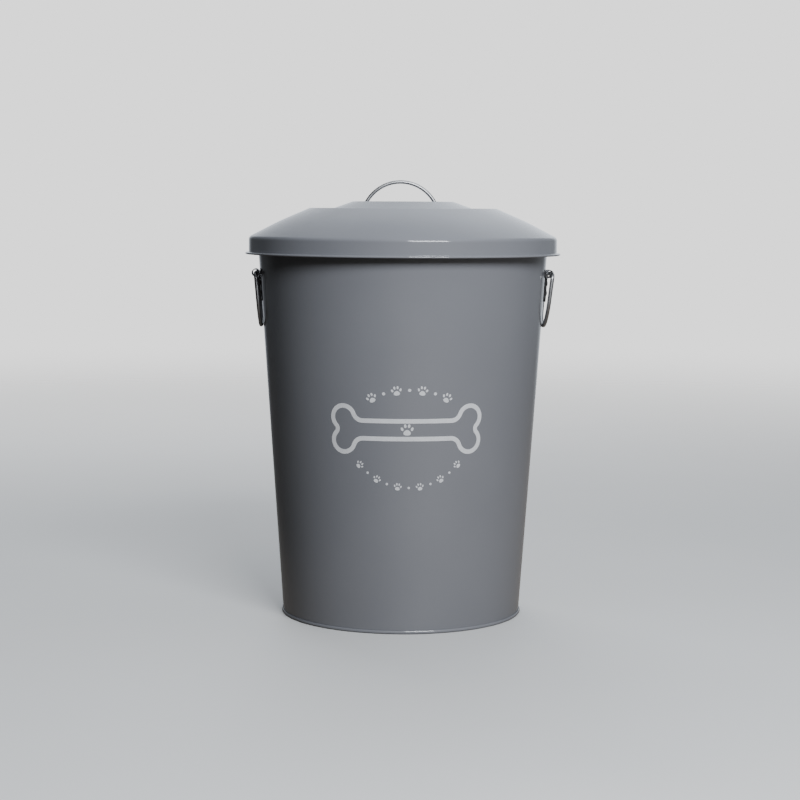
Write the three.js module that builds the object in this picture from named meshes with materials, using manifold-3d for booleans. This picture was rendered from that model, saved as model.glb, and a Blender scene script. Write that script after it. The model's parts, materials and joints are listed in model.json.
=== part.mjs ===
// A tapered sheet-steel bin for dry pet food, with a lift-off lid, a wire bail on the lid and two
// wire drop handles. Millimetres, +Z up. The origin is the centre of the foot, on the floor, and the
// front of the bin faces -Y.

import * as THREE from "three";
import { mergeVertices } from "three/addons/utils/BufferGeometryUtils.js";
import Module from "manifold-3d";

const wasm = await Module();
wasm.setup();

// ---------- driving dimensions ----------

const SHEET = 0.8; // thickness of the wall, base and lid sheet
const GAP = 0.3; // clearance between pieces that touch

const FOOT_RADIUS = 117.8; // outer face of the wall at the floor
const SHOULDER_RADIUS = 143.1; // outer face of the wall at SHOULDER_HEIGHT
const SHOULDER_HEIGHT = 368;
const SEAM_WIDTH = 9; // lap seam down the back of the wall
const SEAM_BOTTOM = 5.2;
const SEAM_TOP = 366.6;

const RIM_HEIGHT = 372.6; // centre of the rim wire above the floor
const RIM_WIRE = 1.5; // radius of the rim wire
const RIM_CURL_END = -110; // degrees: where the curl stops, below the rim wire

const FLOOR_HEIGHT = 6.4; // middle of the base sheet
const CRIMP_HEIGHT = 3.2; // height of the crimped bead round the foot

const LIP_RADIUS = 155.5; // outermost edge of the lid
const SKIRT_RADIUS = 151.6; // middle of the lid's skirt
const LIP_HEIGHT = 357.5; // middle of the lip's upper layer
const LID_EDGE_HEIGHT = 372.8; // where the skirt and the cone would meet
const CONE_BOW = { radius: 121, height: 388.6, bend: 250 }; // where the lower cone bows outwards
const STEP_RADIUS = 91.8; // outer edge of the flat step
const STEP_INNER_RADIUS = 67.9; // where the upper cone rises from the step
const STEP_HEIGHT = 401.1;
const CREST_HEIGHT = 407.6; // top of the upper cone
const DISH_HEIGHT = 396.2; // floor of the dished centre
const DISH_RADIUS = 43.6;
const DISH_LEAN = 3.6; // how far the side of the dish leans outwards on its way up
const CREST_WIDTH = 2.4;

const BAIL_WIRE = 1.75; // radius of the bail's wire
const BAIL_PIVOT_HEIGHT = 401;
const BAIL_TOP = 427.2; // middle of the wire at the top of the arch
const BAIL_ARCH = 38.4; // radius of the arch
const BAIL_LEG_END = 405.2; // height where the arch runs into its straight feet
const BAIL_TIP = 13; // length of the inward feet
const BAIL_KNEE = 2.4; // bend between a leg and its foot
const BAIL_FLOAT = 2.5; // how far the bail has slid to the left in its ears

const EAR_SHEET = 1.0;
const EAR_WIDTH = 14;
const EAR_LEAF = 28; // distance of the upright leaf from the lid's centre
const EAR_TAB_END = 16.5;
const EAR_TOP = 405.5;
const EAR_HOLE = BAIL_WIRE + 0.35;
const EAR_RIVET_SPOT = { x: 21, y: 4.6 };
const EAR_RIVET = { shank: 1.6, head: 2.5, dome: 1.1, tail: 2.4, tailHeight: 0.9 };

const RING_WIRE = 2.0; // radius of a drop handle's wire
const RING_PIVOT_HEIGHT = 337.6;
const RING_HALF_WIDTH = 28;
const RING_DROP = 51.6; // from the pivot to the middle of the bottom run
const RING_TOP_BEND = 5;
const RING_BOTTOM_BEND = 25;
const RING_BUTT = 0.6; // half the gap between the wire's ends, inside the clip
const RING_FLOAT = 0.8; // how far the right ring has slid outwards in its clip, and the left inwards

const CLIP_PLAY = 1.1; // between the ring's wire and the clip's loop
const CLIP_WIDTH = 20;
const CLIP_DROP = 28; // length of the clip's two leaves below the pivot
const CLIP_TUCK = -75; // degrees: how far the loop curls under the wire
const CLIP_BEND = 1.2; // from the loop into the front leaf
const CLIP_RIVET_DROPS = [10, 19.5];
const CLIP_RIVET = { shank: 2, head: 3.25, dome: 1.8, tail: 3.2, tailHeight: 1.1 };

const TURN_SEGMENTS = 48; // facets round every turned piece
const ARC_STEP = 42; // degrees per facet on a tight bend
const WIDE_BEND = 10; // bends of at least this radius take finer facets
const WIDE_ARC_STEP = 15;
const WIRE_SIDES = 10;
const RIVET_SEGMENTS = 16;
const HOLE_LENGTH = 8; // long enough to pass through any two sheets

// ---------- derived dimensions ----------

const degrees = THREE.MathUtils.degToRad;
const WALL_SLOPE = (SHOULDER_RADIUS - FOOT_RADIUS) / SHOULDER_HEIGHT;
const TAPER = Math.atan(WALL_SLOPE);
const wallRadius = (height) => FOOT_RADIUS + WALL_SLOPE * height;
const CLIP_LOOP = RING_WIRE + CLIP_PLAY + SHEET / 2; // middle of the clip's loop
const CLIP_STAND_OFF = CLIP_LOOP + SHEET / 2 + GAP; // from the wall to the middle of the loop

// ---------- materials ----------

const paint = new THREE.MeshStandardMaterial({ color: 0x84868c, roughness: 0.3, metalness: 0.1 });
const wireSteel = new THREE.MeshStandardMaterial({ color: 0x9a9a9c, roughness: 0.3, metalness: 1 });
const clipSteel = new THREE.MeshStandardMaterial({ color: 0x5c5d60, roughness: 0.4, metalness: 1 });
const rivetSteel = new THREE.MeshStandardMaterial({ color: 0x77787b, roughness: 0.35, metalness: 1 });

// ---------- outlines ----------

const point = (x, y) => new THREE.Vector2(x, y);

// Points on an arc from one angle to another, in degrees.
function arc(centre, radius, from, to) {
  const step = radius < WIDE_BEND ? ARC_STEP : WIDE_ARC_STEP;
  const steps = Math.ceil(Math.abs(to - from) / step);
  return Array.from({ length: steps + 1 }, (_, i) => {
    const angle = degrees(from + ((to - from) * i) / steps);
    return point(centre.x + radius * Math.cos(angle), centre.y + radius * Math.sin(angle));
  });
}

// A route through corners [x, y, bend radius]; each corner with a radius becomes an arc.
function route(corners) {
  return corners.flatMap(([x, y, radius = 0], i) => {
    const corner = point(x, y);
    if (radius === 0) return [corner];
    const back = point(...corners[i - 1]).sub(corner).normalize();
    const ahead = point(...corners[i + 1]).sub(corner).normalize();
    const half = Math.acos(back.dot(ahead)) / 2;
    const centre = corner.clone().add(back.clone().add(ahead).setLength(radius / Math.sin(half)));
    const reach = radius / Math.tan(half);
    const start = corner.clone().addScaledVector(back, reach).sub(centre);
    const turn = 180 - THREE.MathUtils.radToDeg(2 * half);
    const way = Math.sign(ahead.cross(back));
    const from = THREE.MathUtils.radToDeg(start.angle());
    return arc(centre, radius, from, from + way * turn);
  });
}

// The outline of a sheet of the given thickness, bent along a route.
function sheetOutline(middle, thickness) {
  const offsets = middle.map((here, i) => {
    const before = middle[i - 1] ?? here.clone().multiplyScalar(2).sub(middle[1]);
    const after = middle[i + 1] ?? here.clone().multiplyScalar(2).sub(middle[i - 1]);
    const normals = [here.clone().sub(before), after.clone().sub(here)].map((way) =>
      point(-way.y, way.x).normalize(),
    );
    const mitre = normals[0].clone().add(normals[1]);
    return mitre.multiplyScalar(thickness / 2 / (1 + normals[0].dot(normals[1])));
  });
  const above = middle.map((here, i) => here.clone().add(offsets[i]));
  const below = middle.map((here, i) => here.clone().sub(offsets[i]));
  return [...below, ...above.reverse()];
}

// ---------- solids ----------

// An outline that starts and ends on the axis, turned about Z.
function turned(outline, segments = TURN_SEGMENTS) {
  return new THREE.LatheGeometry(outline, segments).rotateX(Math.PI / 2);
}

// An outline clear of the axis, closed on itself and turned about Z.
function turnedRing(outline) {
  return turned([...outline, outline[0]]);
}

// An outline in X and Z, extruded along Y and centred on it.
function strip(outline, width) {
  const flat = new THREE.ExtrudeGeometry(new THREE.Shape(outline), {
    depth: width,
    bevelEnabled: false,
  });
  return flat.translate(0, 0, -width / 2).rotateX(Math.PI / 2);
}

// A curve that visits given points in equal steps, so that each becomes one section of a wire.
class WireRoute extends THREE.Curve {
  constructor(points) {
    super();
    this.points = points;
  }

  getPoint(t) {
    const along = t * (this.points.length - 1);
    const i = Math.min(Math.floor(along), this.points.length - 2);
    return this.points[i].clone().lerp(this.points[i + 1], along - i);
  }

  getPointAt(u) {
    return this.getPoint(u);
  }

  getTangentAt(u) {
    const i = Math.round(u * (this.points.length - 1));
    const here = this.points[i];
    const tangent = new THREE.Vector3();
    if (i > 0) tangent.add(here.clone().sub(this.points[i - 1]).normalize());
    if (i < this.points.length - 1) tangent.add(this.points[i + 1].clone().sub(here).normalize());
    return tangent.normalize();
  }
}

function wire(points, radius) {
  const section = new THREE.Shape(
    Array.from({ length: WIRE_SIDES }, (_, i) => {
      const angle = (2 * Math.PI * i) / WIRE_SIDES;
      return point(radius * Math.cos(angle), radius * Math.sin(angle));
    }),
  );
  return new THREE.ExtrudeGeometry(section, {
    steps: points.length - 1,
    extrudePath: new WireRoute(points),
  });
}

// A rivet along +Z through the plane z = 0, its domed head above and its flat tail below.
function rivet({ shank, head, dome, headAt, tail, tailAt, tailHeight }) {
  return turned(
    [
      point(0, tailAt - tailHeight),
      point(tail, tailAt - tailHeight),
      point(tail, tailAt),
      point(shank, tailAt),
      point(shank, headAt),
      point(head, headAt),
      point(head * 0.85, headAt + dome * 0.6),
      point(head * 0.45, headAt + dome * 0.95),
      point(0, headAt + dome),
    ],
    RIVET_SEGMENTS,
  );
}

function toSolid(geometry) {
  const bare = geometry.clone();
  bare.deleteAttribute("normal");
  bare.deleteAttribute("uv");
  const merged = mergeVertices(bare, 1e-4);
  return new wasm.Manifold(
    new wasm.Mesh({
      numProp: 3,
      vertProperties: merged.attributes.position.array,
      triVerts: new Uint32Array(merged.index.array),
    }),
  );
}

function toGeometry(solid) {
  const mesh = solid.getMesh();
  const geometry = new THREE.BufferGeometry();
  geometry.setAttribute("position", new THREE.BufferAttribute(mesh.vertProperties, 3));
  geometry.setIndex(new THREE.BufferAttribute(mesh.triVerts, 1));
  geometry.computeVertexNormals();
  return geometry;
}

const drill = (solid, hole) => solid.subtract(toSolid(hole));

// A cylinder along Z, centred on the origin.
function peg(radius, length) {
  return new THREE.CylinderGeometry(radius, radius, length, RIVET_SEGMENTS).rotateX(Math.PI / 2);
}

const rivetHole = ({ shank }) => peg(shank + GAP, HOLE_LENGTH);

function named(name, geometry, material) {
  const mesh = new THREE.Mesh(geometry, material);
  mesh.name = name;
  return mesh;
}

// ---------- wall, rim and base ----------

// Turns something made about a clip's loop, with x away from the wall, to its place on the bin.
function placeOnWall(thing, side) {
  const loopRadius =
    wallRadius(RING_PIVOT_HEIGHT + CLIP_STAND_OFF * Math.sin(TAPER)) +
    CLIP_STAND_OFF * Math.cos(TAPER);
  const moved = new THREE.Matrix4()
    .makeRotationZ(side > 0 ? 0 : Math.PI)
    .multiply(new THREE.Matrix4().makeTranslation(loopRadius, 0, RING_PIVOT_HEIGHT))
    .multiply(new THREE.Matrix4().makeRotationY(TAPER));
  return thing.applyMatrix4(moved);
}

// The rim wire's centre: the curl is tangent to the middle of the wall's sheet.
function rimCentre() {
  const curl = RIM_WIRE + GAP + SHEET / 2;
  const middle = wallRadius(RIM_HEIGHT + curl * Math.sin(TAPER)) - SHEET / 2;
  return point(middle + curl * Math.cos(TAPER), RIM_HEIGHT);
}

function wallSection() {
  const foot = SHEET + GAP;
  const curlStart = 180 - THREE.MathUtils.radToDeg(TAPER);
  const curl = arc(rimCentre(), RIM_WIRE + GAP + SHEET / 2, curlStart, RIM_CURL_END);
  return sheetOutline([point(wallRadius(foot) - SHEET / 2, foot), ...curl], SHEET);
}

// One extra layer of sheet, lapped over the joint down the back.
function lapSeam() {
  const height = (SEAM_BOTTOM + SEAM_TOP) / 2;
  return new THREE.BoxGeometry(SEAM_WIDTH, 2 * SHEET, SEAM_TOP - SEAM_BOTTOM)
    .rotateX(-TAPER)
    .translate(0, wallRadius(height), height);
}

function bodyWall() {
  let solid = toSolid(turnedRing(wallSection())).add(toSolid(lapSeam()));
  for (const side of [1, -1]) {
    for (const drop of CLIP_RIVET_DROPS) {
      const hole = rivetHole(CLIP_RIVET).rotateY(Math.PI / 2);
      solid = drill(solid, placeOnWall(hole.translate(-CLIP_STAND_OFF, 0, -drop), side));
    }
  }
  return toGeometry(solid);
}

function rimWire() {
  const centre = rimCentre();
  return new THREE.TorusGeometry(centre.x, RIM_WIRE, 8, TURN_SEGMENTS).translate(0, 0, centre.y);
}

// The base sheet drops inside the wall, turns under its foot and is crimped up outside it.
function basePan() {
  const inside = wallRadius(0) - SHEET - GAP - SHEET / 2;
  const outside = wallRadius(CRIMP_HEIGHT) + GAP + SHEET / 2;
  const middle = route([
    [0, FLOOR_HEIGHT],
    [inside, FLOOR_HEIGHT, 2],
    [inside, SHEET / 2],
    [outside, SHEET / 2],
    [outside, CRIMP_HEIGHT],
  ]);
  return turned(sheetOutline(middle, SHEET));
}

// ---------- lid ----------

function lidSection() {
  const fold = SHEET / 2 + GAP / 2; // bend of the hem, folded under the lip
  const foldCentre = point(LIP_RADIUS - SHEET / 2 - fold, LIP_HEIGHT - fold);
  const middle = route([
    [0, DISH_HEIGHT],
    [DISH_RADIUS, DISH_HEIGHT, 2.5],
    [DISH_RADIUS + DISH_LEAN, CREST_HEIGHT, 1.2],
    [DISH_RADIUS + DISH_LEAN + CREST_WIDTH, CREST_HEIGHT, 1.2],
    [STEP_INNER_RADIUS, STEP_HEIGHT, 1.5],
    [STEP_RADIUS, STEP_HEIGHT, 2.5],
    [CONE_BOW.radius, CONE_BOW.height, CONE_BOW.bend],
    [SKIRT_RADIUS, LID_EDGE_HEIGHT, 3],
    [SKIRT_RADIUS, LIP_HEIGHT, 0.9],
    [foldCentre.x, LIP_HEIGHT],
  ]);
  const hem = arc(foldCentre, fold, 90, -90).slice(1);
  return sheetOutline([...middle, ...hem, point(SKIRT_RADIUS + 1, LIP_HEIGHT - 2 * fold)], SHEET);
}

const earRivetSpots = [-1, 1].flatMap((side) =>
  [-1, 1].map((row) => ({ side, row, x: side * EAR_RIVET_SPOT.x, y: row * EAR_RIVET_SPOT.y })),
);

function lidShell() {
  const holes = earRivetSpots.map(({ x, y }) => rivetHole(EAR_RIVET).translate(x, y, DISH_HEIGHT));
  return toGeometry(holes.reduce(drill, toSolid(turned(lidSection()))));
}

// The front view of an ear, round at the top, as a block across its whole length.
function earOutline() {
  const half = EAR_WIDTH / 2;
  const outline = new THREE.Shape();
  outline.moveTo(-half, DISH_HEIGHT);
  outline.lineTo(half, DISH_HEIGHT);
  outline.absarc(0, EAR_TOP - half, half, 0, Math.PI);
  return new THREE.ExtrudeGeometry(outline, { depth: 2 * EAR_LEAF, bevelEnabled: false })
    .rotateX(Math.PI / 2)
    .rotateZ(Math.PI / 2);
}

// An L of sheet: a tab riveted to the dish, and an upright leaf that holds the bail's foot.
function lidEar(side) {
  const tabHeight = DISH_HEIGHT + SHEET / 2 + GAP + EAR_SHEET / 2;
  const middle = route([
    [EAR_TAB_END, tabHeight],
    [EAR_LEAF, tabHeight, 1.2],
    [EAR_LEAF, EAR_TOP],
  ]);
  let solid = toSolid(strip(sheetOutline(middle, EAR_SHEET), EAR_WIDTH));
  solid = solid.intersect(toSolid(earOutline()));
  const footHole = peg(EAR_HOLE, HOLE_LENGTH).rotateY(Math.PI / 2);
  solid = drill(solid, footHole.translate(EAR_LEAF, 0, BAIL_PIVOT_HEIGHT));
  for (const { x, y } of earRivetSpots.filter((spot) => spot.side > 0)) {
    solid = drill(solid, rivetHole(EAR_RIVET).translate(x, y, tabHeight));
  }
  return toGeometry(solid).rotateZ(side > 0 ? 0 : Math.PI);
}

function earRivet({ x, y }) {
  const sheetTop = DISH_HEIGHT + SHEET / 2;
  return rivet({
    ...EAR_RIVET,
    headAt: sheetTop + GAP + EAR_SHEET + GAP,
    tailAt: DISH_HEIGHT - SHEET / 2 - GAP,
  }).translate(x, y, 0);
}

// An arch whose legs run down to the pivot line, where their feet turn inwards.
function lidBail() {
  const centre = BAIL_TOP - BAIL_ARCH;
  const legAngle = Math.asin((BAIL_LEG_END - centre) / BAIL_ARCH);
  const legEnd = BAIL_ARCH * Math.cos(legAngle);
  const flare = (BAIL_LEG_END - BAIL_PIVOT_HEIGHT) * Math.tan(legAngle);
  const knee = legEnd + flare;
  const steps = 20;
  const arch = Array.from({ length: steps + 1 }, (_, i) => {
    const angle = legAngle + ((Math.PI - 2 * legAngle) * i) / steps;
    return [BAIL_ARCH * Math.cos(angle), centre + BAIL_ARCH * Math.sin(angle)];
  });
  const middle = route([
    [knee - BAIL_TIP, BAIL_PIVOT_HEIGHT],
    [knee, BAIL_PIVOT_HEIGHT, BAIL_KNEE],
    ...arch,
    [-knee, BAIL_PIVOT_HEIGHT, BAIL_KNEE],
    [-knee + BAIL_TIP, BAIL_PIVOT_HEIGHT],
  ]);
  return wire(
    middle.map(({ x, y }) => new THREE.Vector3(x - BAIL_FLOAT, 0, y)),
    BAIL_WIRE,
  );
}

// ---------- drop handles ----------
// Made about the middle of the clip's loop: x away from the wall, z up along it.

// A D-ring bent from one wire, whose ends meet inside the clip. It leans in until its bottom run
// rests on the wall.
function handleRing(side) {
  const away = side * RING_FLOAT;
  const lean = Math.asin((CLIP_STAND_OFF + away - RING_WIRE - GAP) / RING_DROP);
  const middle = route([
    [RING_BUTT, 0],
    [RING_HALF_WIDTH, 0, RING_TOP_BEND],
    [RING_HALF_WIDTH, -RING_DROP, RING_BOTTOM_BEND],
    [-RING_HALF_WIDTH, -RING_DROP, RING_BOTTOM_BEND],
    [-RING_HALF_WIDTH, 0, RING_TOP_BEND],
    [-RING_BUTT, 0],
  ]);
  const ring = wire(
    middle.map(({ x, y }) => new THREE.Vector3(0, x, y)),
    RING_WIRE,
  );
  return ring.rotateY(lean).translate(away, 0, 0);
}

// A strip folded round the ring's top bar: its back leaf lies on the wall and the front leaf on that.
function handleClip() {
  const front = -CLIP_LOOP + SHEET + GAP;
  const neck = arc(point(0, 0), CLIP_LOOP, 180, CLIP_TUCK);
  const end = neck[neck.length - 1];
  const kneeHeight = end.y - (end.x - front) * Math.tan(degrees(90 + CLIP_TUCK));
  const middle = [
    point(-CLIP_LOOP, -CLIP_DROP),
    ...neck,
    ...route([
      [end.x, end.y],
      [front, kneeHeight, CLIP_BEND],
      [front, -CLIP_DROP],
    ]).slice(1),
  ];
  let solid = toSolid(strip(sheetOutline(middle, SHEET), CLIP_WIDTH));
  for (const drop of CLIP_RIVET_DROPS) {
    const hole = rivetHole(CLIP_RIVET).rotateY(Math.PI / 2);
    solid = drill(solid, hole.translate(-CLIP_LOOP, 0, -drop));
  }
  return toGeometry(solid);
}

function clipRivet(drop) {
  return rivet({
    ...CLIP_RIVET,
    headAt: -CLIP_LOOP + SHEET + GAP + SHEET / 2 + GAP,
    tailAt: -CLIP_STAND_OFF - SHEET - 2 * GAP,
  })
    .rotateY(Math.PI / 2)
    .translate(0, 0, -drop);
}

function dropHandle(side) {
  const label = side > 0 ? "right" : "left";
  const rivetLabels = ["upper", "lower"];
  return [
    named(`${label}_handle_ring`, placeOnWall(handleRing(side), side), wireSteel),
    named(`${label}_handle_clip`, placeOnWall(handleClip(), side), clipSteel),
    ...CLIP_RIVET_DROPS.map((drop, i) => {
      const name = `${label}_clip_rivet_${rivetLabels[i]}`;
      return named(name, placeOnWall(clipRivet(drop), side), rivetSteel);
    }),
  ];
}

// ---------- the assembly ----------

const bin = new THREE.Group();
bin.add(named("body_wall", bodyWall(), paint));
bin.add(named("rim_wire", rimWire(), rivetSteel));
bin.add(named("base_pan", basePan(), paint));

const lid = new THREE.Group();
lid.add(named("lid_shell", lidShell(), paint));
lid.add(named("lid_bail", lidBail(), wireSteel));
lid.add(named("lid_ear_left", lidEar(-1), clipSteel));
lid.add(named("lid_ear_right", lidEar(1), clipSteel));
for (const spot of earRivetSpots) {
  const name = `${spot.side < 0 ? "left" : "right"}_ear_rivet_${spot.row < 0 ? "front" : "back"}`;
  lid.add(named(name, earRivet(spot), rivetSteel));
}

const petFoodBin = new THREE.Group();
petFoodBin.add(bin);
petFoodBin.add(lid);
petFoodBin.add(...dropHandle(-1), ...dropHandle(1));

export default petFoodBin;
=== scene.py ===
import json
import math

import bmesh
import bpy
from mathutils import Matrix, Vector


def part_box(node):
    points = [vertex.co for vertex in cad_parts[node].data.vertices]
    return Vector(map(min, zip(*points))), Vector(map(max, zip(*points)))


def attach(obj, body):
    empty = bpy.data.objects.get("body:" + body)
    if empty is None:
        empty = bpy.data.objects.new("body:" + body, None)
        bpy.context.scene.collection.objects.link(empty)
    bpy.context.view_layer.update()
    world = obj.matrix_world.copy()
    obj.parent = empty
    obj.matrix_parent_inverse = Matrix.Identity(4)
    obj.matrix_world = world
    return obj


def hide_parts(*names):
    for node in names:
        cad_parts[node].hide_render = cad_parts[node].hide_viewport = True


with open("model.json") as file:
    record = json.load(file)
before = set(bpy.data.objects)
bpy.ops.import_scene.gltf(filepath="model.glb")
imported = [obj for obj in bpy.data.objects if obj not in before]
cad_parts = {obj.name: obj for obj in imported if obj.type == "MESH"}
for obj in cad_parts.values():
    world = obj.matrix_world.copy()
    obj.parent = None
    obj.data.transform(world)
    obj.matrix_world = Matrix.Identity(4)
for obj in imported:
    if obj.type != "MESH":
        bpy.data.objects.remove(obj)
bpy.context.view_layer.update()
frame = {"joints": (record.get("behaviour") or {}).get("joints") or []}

# ---------- sizes, in metres, from the frame ----------

MM = 0.001
SHEET = 0.8 * MM
GAP = 0.3 * MM

WALL_LOW, WALL_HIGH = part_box("body_wall")
_, BASE_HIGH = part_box("base_pan")
LID_LOW, LID_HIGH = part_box("lid_shell")
BAIL_LOW, BAIL_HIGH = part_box("lid_bail")
EAR_LOW, EAR_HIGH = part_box("lid_ear_right")
CLIP_LOW, CLIP_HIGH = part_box("right_handle_clip")
RING_LOW, RING_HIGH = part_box("right_handle_ring")
PIVOTS = {joint["name"]: Vector(joint["pos_m"]) for joint in frame["joints"] if "pos_m" in joint}

# wall: a straight taper from the foot to the curled rim
RIM_WIRE = 1.5 * MM
CURL = RIM_WIRE + GAP + SHEET / 2
RIM = Vector((WALL_HIGH.x - CURL - SHEET / 2, WALL_HIGH.z - CURL - SHEET / 2))
CURL_END = math.radians(-110)
CRIMP_HEIGHT = 3.2 * MM
FOOT = Vector((BASE_HIGH.x - 1.5 * SHEET - GAP, WALL_LOW.z))
TAPER = math.atan2(RIM.x - CURL - FOOT.x, RIM.y - FOOT.y)


def wall_radius(height):
    """The outer face of the wall."""
    return FOOT.x + SHEET / 2 + (height - FOOT.y) * math.tan(TAPER)


# lap seam down the back of the wall: one crisp edge, and on the other side a long fade
SEAM_ANGLE = math.radians(2.0)  # from the middle of the back to the crisp edge
SEAM_FADE = math.radians(9)
SEAM_EDGE = math.radians(0.1)
SEAM_RISE = 0.85 * SHEET
SEAM_LOW = CRIMP_HEIGHT + 2 * MM
SEAM_HIGH = RIM.y - 6 * MM
SEAM_END = 0.4 * MM

# base: a ring is pressed slightly down into its floor, and its edge is a bead round the wall's foot
BASE_FLOOR = BASE_HIGH.z - SHEET / 2
DIP_INNER = 81 * MM
DIP_OUTER = 106 * MM
DIP_SLOPE = 3 * MM
DIP_DEPTH = 1.0 * MM
DIP_BEND = 6 * MM
DIP_OUTER_BEND = 3 * MM
BASE_BEND = 1.6 * MM
BEAD_INNER_BEND = 0.6 * MM
BEAD_FOOT_BEND = 1.0 * MM
BEAD_BULGE = 0.5 * MM  # how far the bead stands out beyond its upper edge
BEAD_MIDDLE = 2.0 * MM  # height where the bead turns in towards the wall
BEAD_BEND = 2.4 * MM

# lid, from its centre out and down; each bend belongs to the corner named before it
DISH_RADIUS = 43.6 * MM
DISH_DEPTH = 11.4 * MM
DISH_BEND = 2.5 * MM
DISH_LEAN = 3.6 * MM  # how far the side of the dish leans outwards on its way up
CREST = LID_HIGH.z - SHEET / 2
CREST_WIDTH = 2.4 * MM
CREST_BEND = 1.2 * MM
STEP = CREST - 6.5 * MM
STEP_INNER = 67.9 * MM
STEP_INNER_BEND = 1.5 * MM
STEP_OUTER = 91.8 * MM
STEP_OUTER_BEND = 2.5 * MM
CONE_MIDDLE = Vector((121 * MM, CREST - 19 * MM))  # where the cone bows outwards
CONE_BOW = 250 * MM
SKIRT = LID_HIGH.x - 3.9 * MM
SKIRT_TOP = CREST - 34.8 * MM
SHOULDER_BEND = 3.8 * MM
HEM = SHEET / 2 + GAP / 2  # radius of the fold at the edge of the lip
HEM_END = SKIRT + 1 * MM
LIP = LID_LOW.z + SHEET / 2 + 2 * HEM
LIP_BEND = 0.9 * MM

# wires and strips
BAIL_WIRE = 1.75 * MM
BAIL_ARCH = 38.4 * MM
BAIL_LEG_END = BAIL_HIGH.z - BAIL_WIRE - 22.0 * MM
BAIL_TIP = 13 * MM
BAIL_KNEE = 2.4 * MM
RING_WIRE = 2.0 * MM
RING_DROP = 51.6 * MM
RING_TOP_BEND = 5 * MM
RING_BOTTOM_BEND = 25 * MM
RING_BUTT = 0.6 * MM  # half the gap between the wire's ends, inside the clip
CLIP_PLAY = 1.1 * MM  # between the ring's wire and the clip's loop
CLIP_LOOP = RING_WIRE + CLIP_PLAY + SHEET / 2
CLIP_DROP = 28 * MM
CLIP_TUCK = math.radians(-75)  # how far the loop curls under the ring's bar
CLIP_BEND = 1.2 * MM
CLIP_RIVET_DROPS = {"upper": 10 * MM, "lower": 19.5 * MM}
CLIP_STAND_OFF = CLIP_LOOP + SHEET / 2 + GAP  # from the wall to the middle of the loop
EAR_SHEET = 1.0 * MM
EAR_LEAF = 28 * MM  # from the lid's centre to the upright leaf
EAR_BEND = 1.2 * MM
EAR_HOLE = BAIL_WIRE + 0.3 * MM
EAR_BORE = 6 * MM  # length of the cutter that bores an ear
STRIP_CORNER = 3 * MM  # rounding of a strip's cut corners
STRIP_EDGE = 0.18 * MM  # rounding of a strip's sheared edges
EAR_EDGE = 0.15 * MM

# rivets: radius and height of the domed head, radius and height of the tail
EAR_RIVET = {"head": 2.5 * MM, "dome": 1.1 * MM, "tail": 2.4 * MM, "tail_height": 0.9 * MM}
CLIP_RIVET = {"head": 3.25 * MM, "dome": 1.8 * MM, "tail": 3.2 * MM, "tail_height": 1.5 * MM}
RIVET_EDGE = 0.25 * MM
RIVET_SHANK = 0.6  # the shank's radius, as a share of the tail's
TAIL_GAP = 0.1 * MM

# fineness of the visual meshes
TURN_STEPS = 192
WIRE_SIDES = 20
WIRE_CHAMFER = 0.25  # length of the chamfer at a wire's end, as a share of the wire's radius
WIRE_TIP = 0.72  # radius of a wire's end face, as a share of the wire's radius
RIM_SIDES = 16
RIVET_STEPS = 28
DOME_STEPS = 9  # over a rivet's head
END_STEPS = 6  # round the free end of a sheet
CORNER_STEPS = 5  # round a strip's cut corner
EAR_STEP = math.radians(8)  # over an ear's round top
EAR_STEPS = 11
HOLE_SIDES = 28
FLOOR_STEPS = 96
BEVEL_STEPS = 2
BEVEL_FROM = math.radians(50)  # edges of a strip that turn further are rounded
TINY = 1e-7  # a distance that counts as none
WELD = 1e-6  # points closer than this become one
TIGHT_STEP = math.radians(12)
WIDE_STEP = math.radians(4)
WIDE_BEND = 10 * MM
SHARP = math.radians(38)


# ---------- shader nodes ----------


class Nodes:
    """A node tree with a few short-hands."""

    def __init__(self, tree):
        self.nodes = tree.nodes
        self.links = tree.links

    def node(self, kind):
        return self.nodes.new(kind)

    def math(self, operation, a, b=0.0, c=0.0):
        node = self.node("ShaderNodeMath")
        node.operation = operation
        for socket, value in zip(node.inputs, (a, b, c)):
            if isinstance(value, (int, float)):
                socket.default_value = value
            else:
                self.links.new(value, socket)
        return node.outputs[0]

    def ramp(self, value, low, high, start=0.0, end=1.0):
        """value mapped smoothly from low..high to start..end, and held at its ends."""
        node = self.node("ShaderNodeMapRange")
        node.interpolation_type = "SMOOTHSTEP"
        numbers = {"From Min": low, "From Max": high, "To Min": start, "To Max": end}
        for name, number in numbers.items():
            node.inputs[name].default_value = number
        self.links.new(value, node.inputs["Value"])
        return node.outputs["Result"]


# ---------- camera, light and floor ----------

CAMERA_LENS = 86.25
CAMERA_DISTANCE = 1.902
CAMERA_HEIGHT = 0.401
CAMERA_SIDESTEP = -0.0020
CAMERA_PITCH = math.radians(5.7)
CAMERA_AZIMUTH = math.radians(-2.1)
CAMERA_ROLL = math.radians(0.32)

# What surrounds the bin, by direction: x to the right, y to the back and z up, each from -1 to 1.
# A pair is where a change begins and ends.
WALL_GLOW = 1.5
WALL_FACING = (0.50, 0.80)  # y
WALL_MIDDLE = 0.05  # x of its middle, slightly to the right
WALL_SIDES = (0.15, 0.50)  # x from its middle
WALL_SIDE_SHARE = 0.12
WALL_FOOT = (-0.25, 0.10)  # z
WALL_FOOT_SHARE = 0.2
CEILING_GLOW = 0.80
CEILING_EDGE = (0.55, 0.90)  # z
LEFT_EDGE = (-0.30, 0.20)  # x
LEFT_SHARE = 0.55  # how much of the wall's and the ceiling's glow is left on the left
ROOM_SIDES = (-0.35, 0.9)  # x
ROOM_DARK = 0.02
ROOM_GLOW = 0.14
GLOW_TINT = (0.86, 0.92, 1.0)
BACKDROP = (1.65, 1.65, 1.65)

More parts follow.
